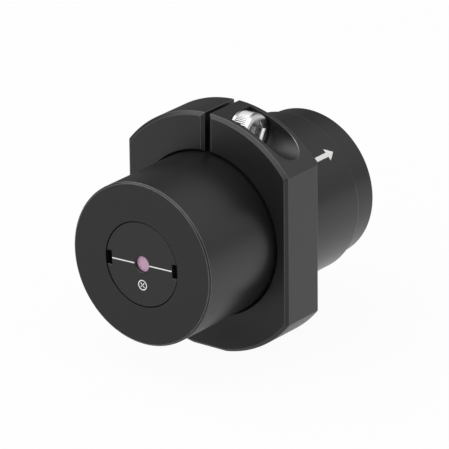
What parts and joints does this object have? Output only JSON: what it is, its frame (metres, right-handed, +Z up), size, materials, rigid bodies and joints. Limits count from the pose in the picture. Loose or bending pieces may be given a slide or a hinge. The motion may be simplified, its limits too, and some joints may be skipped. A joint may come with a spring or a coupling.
{
  "type": "optical isolator",
  "caption": "Free-space Faraday optical isolator: black tube with input disc and tunable output cell, held in a split slip ring with clamp screw and post hole.",
  "frame": {"origin": "mouth of the threaded post hole, in the middle of the slip ring's flat foot", "axes": "+Y along the light path from input to output, +Z up from the foot, +X towards the clamp screw's head"},
  "size_m": [0.0356, 0.051, 0.045],
  "materials": {
    "ring_anodised": "matt black anodised, fine tumbled grain",
    "barrel_anodised": "satin black anodised, turned",
    "cell_anodised": "satin black anodised, turned",
    "disc_anodised": "matt black anodised with white filled line",
    "mount_anodised": "matt black anodised",
    "screw_steel": "bright stainless steel, knurled head",
    "set_screw_steel": "black oxide steel",
    "coated_window": "polished, with a coating that reflects pink",
    "prism_glass": "polished",
    "garnet_crystal": "polished crystal, faintly amber",
    "magnet_nickel": "nickel plated",
    "sleeve_brass": "turned brass"
  },
  "bodies": {
    "ring": {"slip_ring": "ring_anodised"},
    "clamp_screw": {"clamp_screw": "screw_steel"},
    "core": {"front_magnet": "magnet_nickel", "centre_magnet": "magnet_nickel", "rear_magnet": "magnet_nickel", "magnet_retaining_ring": "sleeve_brass", "crystal_sleeve": "sleeve_brass", "faraday_crystal": "garnet_crystal", "crystal_front_spacer": "sleeve_brass", "crystal_rear_spacer": "sleeve_brass"},
    "barrel": {"barrel": "barrel_anodised", "input_disc": "disc_anodised", "input_window": "coated_window", "input_polariser_mount": "mount_anodised", "input_outer_prism": "prism_glass", "input_inner_prism": "prism_glass"},
    "input_lock": {"input_lock_screw": "set_screw_steel"},
    "output_cell": {"output_cell": "cell_anodised", "output_disc": "disc_anodised", "output_window": "coated_window", "output_polariser_mount": "mount_anodised", "output_outer_prism": "prism_glass", "output_inner_prism": "prism_glass"},
    "output_lock": {"output_lock_screw": "set_screw_steel"}
  },
  "joints": [
    {"name": "clamp_screw_turn", "type": "hinge", "parent": "ring", "child": "clamp_screw", "pos_m": [0.0037, 0, 0.0417], "axis": [1, 0, 0], "range_deg": [0, 720]},
    {"name": "barrel_slide", "type": "slide", "parent": "ring", "child": "core", "axis": [0, 1, 0], "range_m": [-0.0156, 0.0189]},
    {"name": "barrel_turn", "type": "hinge", "parent": "core", "child": "barrel", "pos_m": [0, 0, 0.02235], "axis": [0, 1, 0], "continuous": true},
    {"name": "output_cell_turn", "type": "hinge", "parent": "barrel", "child": "output_cell", "pos_m": [0, 0.02094, 0.02235], "axis": [0, 1, 0], "range_deg": [-15, 15]},
    {"name": "input_lock_turn", "type": "hinge", "parent": "barrel", "child": "input_lock", "pos_m": [0, -0.0188, 0.00735], "axis": [0, 0, -1], "range_deg": [0, 360]},
    {"name": "output_lock_turn", "type": "hinge", "parent": "barrel", "child": "output_lock", "pos_m": [0, 0.01844, 0.00735], "axis": [0, 0, -1], "range_deg": [0, 360]}
  ]
}
